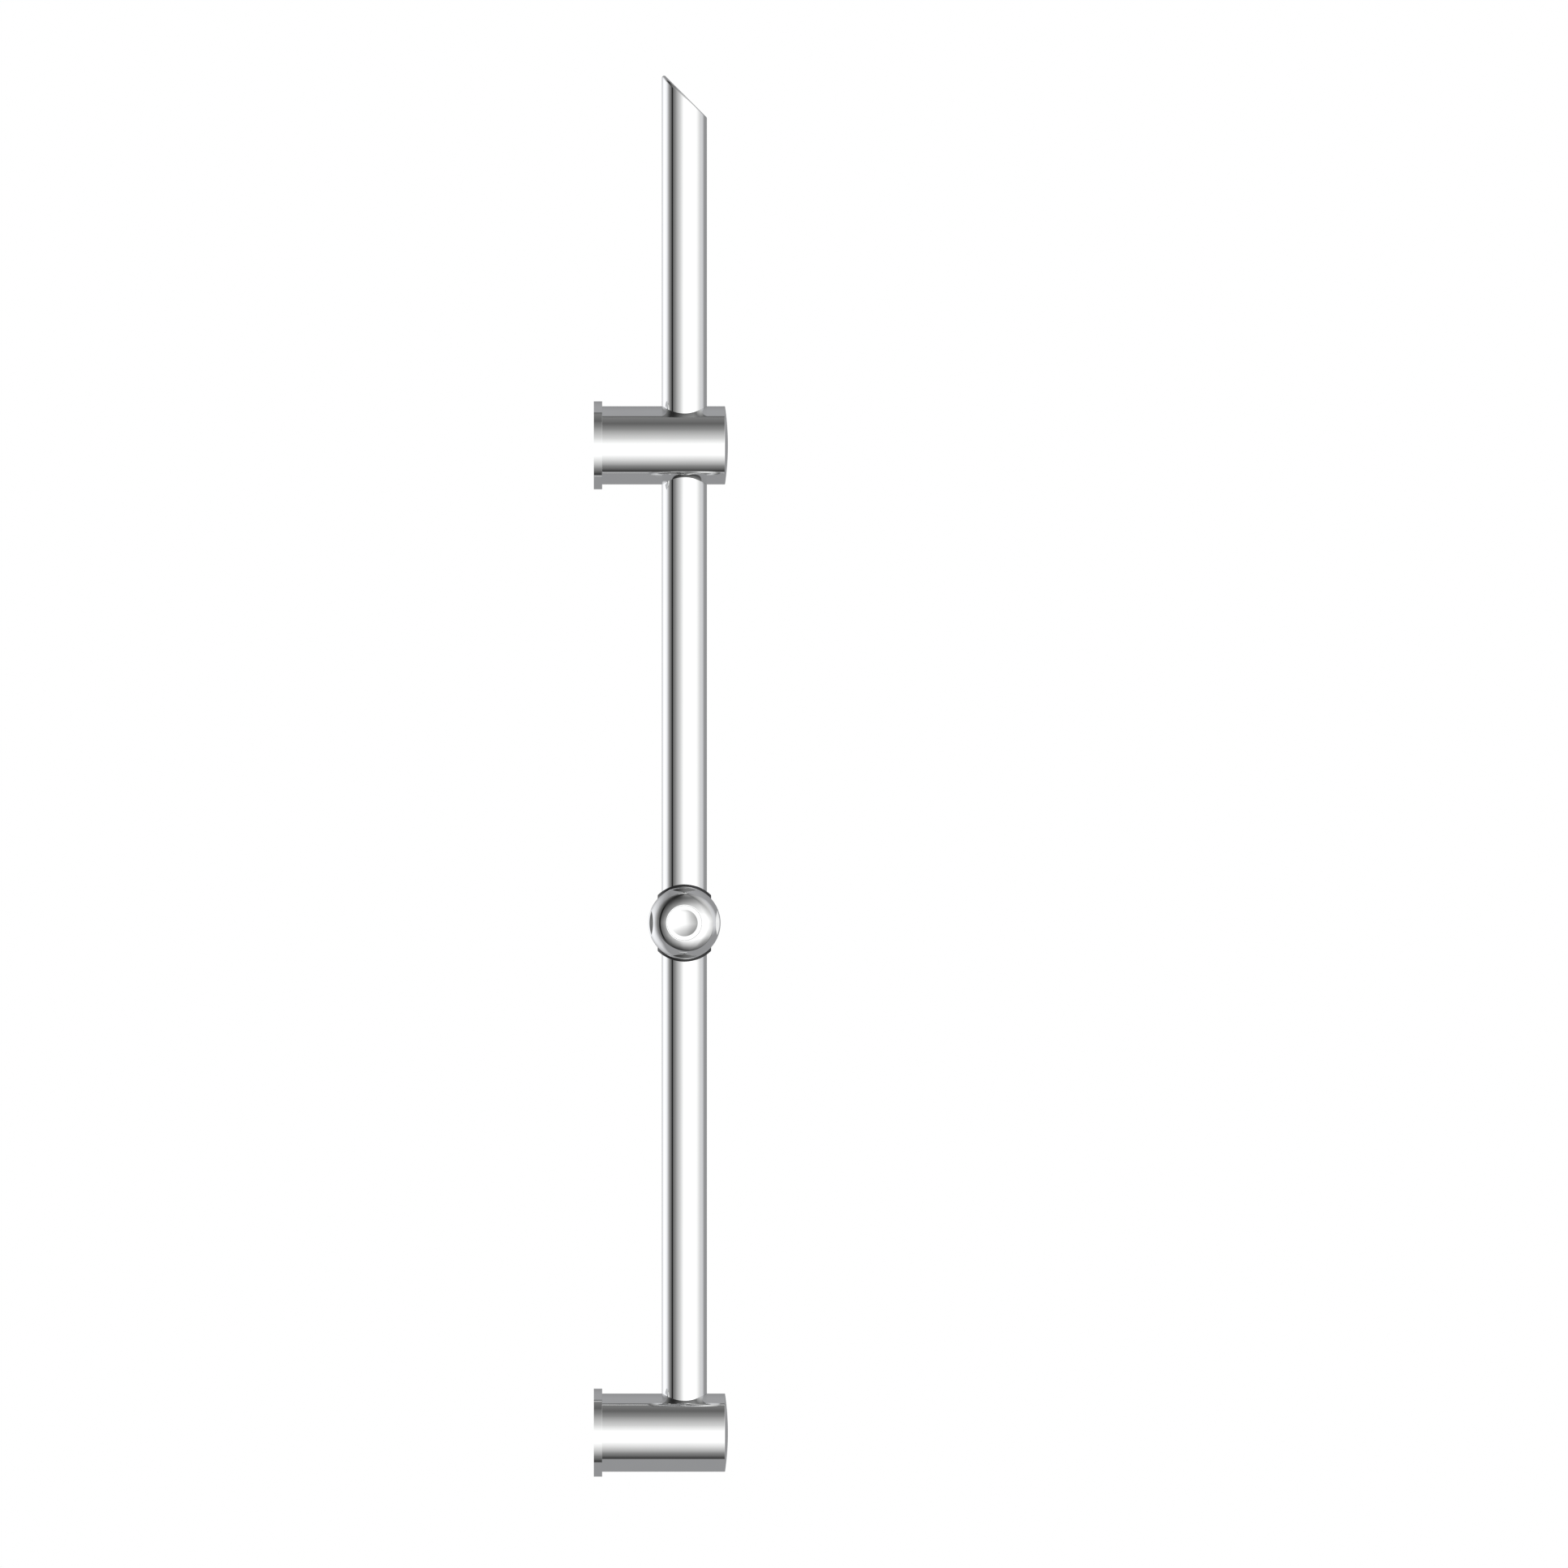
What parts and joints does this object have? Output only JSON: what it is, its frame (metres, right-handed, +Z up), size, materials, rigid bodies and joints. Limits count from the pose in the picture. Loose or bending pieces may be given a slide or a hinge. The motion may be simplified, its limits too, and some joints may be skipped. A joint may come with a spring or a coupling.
{
  "type": "shower slide rail",
  "caption": "Upright wall-mounted shower rail: chromed tube with a slanted top on round brackets, with a sliding clamp, a scalloped clamp knob and a swivelling handset holder.",
  "frame": {"origin": "middle of the lower bracket's wall face, on the plane of the wall", "axes": "+X points out of the wall into the room, +Z points up along the rail, and the clamp knob points along -Y"},
  "size_m": [0.0655, 0.0937, 0.6842],
  "materials": {
    "chrome": "polished",
    "screw_steel": "satin",
    "dark_liner": "satin",
    "clamp_plastic": "matte",
    "pad_brass": "satin"
  },
  "bodies": {
    "wall_rail": {"rail_tube": "chrome", "rail_end_cap": "chrome", "upper_bracket_body": "chrome", "upper_wall_plate": "chrome", "upper_body_lock_screw": "screw_steel", "upper_rail_lock_screw": "screw_steel", "lower_bracket_body": "chrome", "lower_wall_plate": "chrome", "lower_body_lock_screw": "screw_steel", "lower_rail_lock_screw": "screw_steel"},
    "sleeve": {"clamp_sleeve": "clamp_plastic"},
    "slider": {"slider_body": "chrome", "upper_liner_bush": "dark_liner", "lower_liner_bush": "dark_liner", "pivot_screw": "screw_steel", "friction_washer": "dark_liner", "spring_washer": "screw_steel"},
    "pad": {"thrust_pad": "pad_brass"},
    "knob": {"clamp_knob": "chrome", "clamp_screw": "screw_steel", "knob_cap": "chrome"},
    "holder": {"handset_holder": "chrome"}
  },
  "joints": [
    {"name": "slider_slide", "type": "slide", "parent": "wall_rail", "child": "sleeve", "axis": [0, 0, 1], "range_m": [-0.2105, 0.1949]},
    {"name": "slider_swivel", "type": "hinge", "parent": "sleeve", "child": "slider", "pos_m": [0.04425, 0, 0.2489], "axis": [0, 0, 1], "range_deg": [-215, 35]},
    {"name": "pad_slide", "type": "slide", "parent": "slider", "child": "pad", "axis": [0, -1, 0], "range_m": [0, 0.00125]},
    {"name": "knob_turn", "type": "hinge", "parent": "pad", "child": "knob", "pos_m": [0.04425, -0.03, 0.2489], "axis": [0, -1, 0], "range_deg": [0, 360]},
    {"name": "holder_swivel", "type": "hinge", "parent": "slider", "child": "holder", "pos_m": [0.04425, 0.0411, 0.2489], "axis": [0, 1, 0], "continuous": true}
  ],
  "couplings": [
    {"joint": "knob_turn", "follows": "pad_slide", "rad_per_m": 5026.5}
  ]
}
